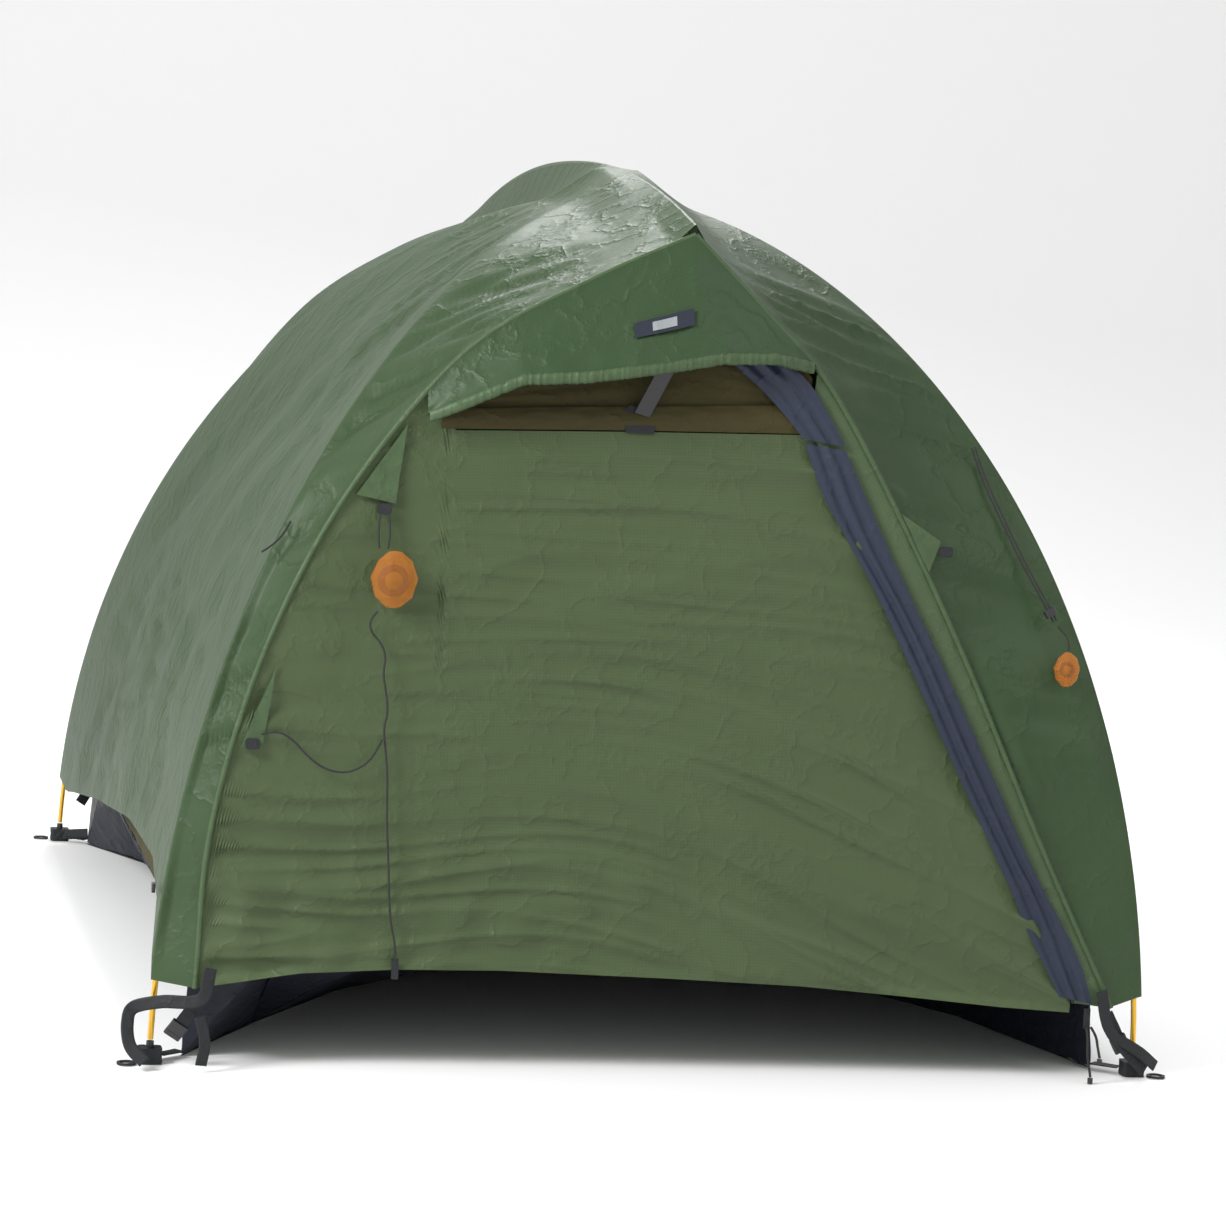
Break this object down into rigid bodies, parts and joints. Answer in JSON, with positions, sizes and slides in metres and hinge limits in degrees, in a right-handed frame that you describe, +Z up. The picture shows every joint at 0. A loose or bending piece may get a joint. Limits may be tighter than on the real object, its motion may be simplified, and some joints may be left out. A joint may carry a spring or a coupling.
{
  "type": "dome tent on poles",
  "caption": "Free-standing two-person dome tent: two crossing arch poles under a ridge pole, ripstop fly with hooded front door, and a mesh inner on a bathtub floor.",
  "frame": {"origin": "on the ground, at the centre of the groundsheet's underside", "axes": "+X to the right across the door side, +Y from the door to the back, +Z up"},
  "size_m": [1.5754, 2.0912, 1.3327],
  "materials": {
    "pole_gold": "gold anodised",
    "ferrule": "plain anodised",
    "shock_cord": "braided elastic cord",
    "black_plastic": "moulded acetal",
    "fly_green": "coated ripstop nylon",
    "door_green": "coated ripstop nylon, thinner and translucent",
    "hood_green": "coated ripstop nylon",
    "navy_flap": "navy coated taffeta",
    "zip_tape": "woven zip tape",
    "mesh_brown": "fine insect mesh",
    "tub_navy": "coated taffeta",
    "groundsheet": "heavy coated taffeta",
    "webbing_black": "woven polyester webbing",
    "cord_black": "braided guy cord",
    "pouch_orange": "orange mesh"
  },
  "bodies": {
    "root": {"bathtub_walls": "tub_navy", "brow_cups": "black_plastic", "buckle_sockets": "black_plastic", "crossing_hub": "black_plastic", "floor_straps": "webbing_black", "fly_crown": "fly_green", "fly_left_panel": "fly_green", "fly_rear_panel": "fly_green", "fly_right_panel": "fly_green", "fly_straps": "webbing_black", "front_left_panel": "fly_green", "front_right_strip": "fly_green", "groundsheet": "groundsheet", "guy_tab_tips": "webbing_black", "guy_tabs": "fly_green", "guyline_left_branch": "cord_black", "guyline_left_lower": "cord_black", "guyline_left_strand_a": "cord_black", "guyline_left_strand_b": "cord_black", "guyline_right_a": "cord_black", "guyline_right_b": "cord_black", "guyline_right_tail": "cord_black", "hem_tab": "webbing_black", "hood": "hood_green", "hood_hem": "hood_green", "inner_canopy": "mesh_brown", "inner_door_roll": "mesh_brown", "inner_hooks": "black_plastic", "label": "navy_flap", "panel_loop": "cord_black", "peg_loops": "webbing_black", "pole_a_ferrules": "ferrule", "pole_a_sections": "pole_gold", "pole_b_ferrules": "ferrule", "pole_b_sections": "pole_gold", "pole_pockets": "webbing_black", "pole_tips": "black_plastic", "pouch_coils": "cord_black", "pouch_left": "pouch_orange", "pouch_right": "pouch_orange", "pull_long": "cord_black", "pull_short": "cord_black", "pull_toggles": "black_plastic", "ridge_pole_ferrules": "ferrule", "ridge_pole_sections": "pole_gold", "shock_cords": "shock_cord", "side_hooks": "black_plastic", "storm_flap_top": "navy_flap", "strut_patch": "webbing_black", "vent_band": "fly_green", "vent_mesh": "mesh_brown", "zip_coil": "black_plastic", "zip_tape": "zip_tape"},
    "door": {"door_panel": "door_green", "storm_flap": "navy_flap"},
    "vent_strut": {"vent_strut": "black_plastic"},
    "zip_slider": {"zip_slider": "black_plastic"},
    "buckle_plug_left": {"buckle_plug_left": "black_plastic"},
    "buckle_plug_right": {"buckle_plug_right": "black_plastic"},
    "guyline_runner": {"guyline_runner": "black_plastic"}
  },
  "joints": [
    {"name": "door_fold", "type": "hinge", "parent": "root", "child": "door", "pos_m": [-0.362, -1.00546, 0.5], "axis": [0, -0.0709, -0.9975], "range_deg": [0, 90]},
    {"name": "vent_strut_swing", "type": "hinge", "parent": "root", "child": "vent_strut", "pos_m": [-0.046, -1.01579, 1.03], "axis": [-1, 0, 0], "range_deg": [0, 55]},
    {"name": "zip_slide", "type": "slide", "parent": "root", "child": "zip_slider", "axis": [-0.402, 0.0649, 0.9133], "range_m": [0, 0.03]},
    {"name": "buckle_left_release", "type": "slide", "parent": "root", "child": "buckle_plug_left", "axis": [-0.5065, 0.3166, -0.802], "range_m": [0, 0.015]},
    {"name": "buckle_right_release", "type": "slide", "parent": "root", "child": "buckle_plug_right", "axis": [0.5065, 0.3166, -0.802], "range_m": [0, 0.015]},
    {"name": "runner_slide", "type": "slide", "parent": "root", "child": "guyline_runner", "axis": [-0.4848, 0.2121, 0.8485], "range_m": [0, 0.018]}
  ]
}
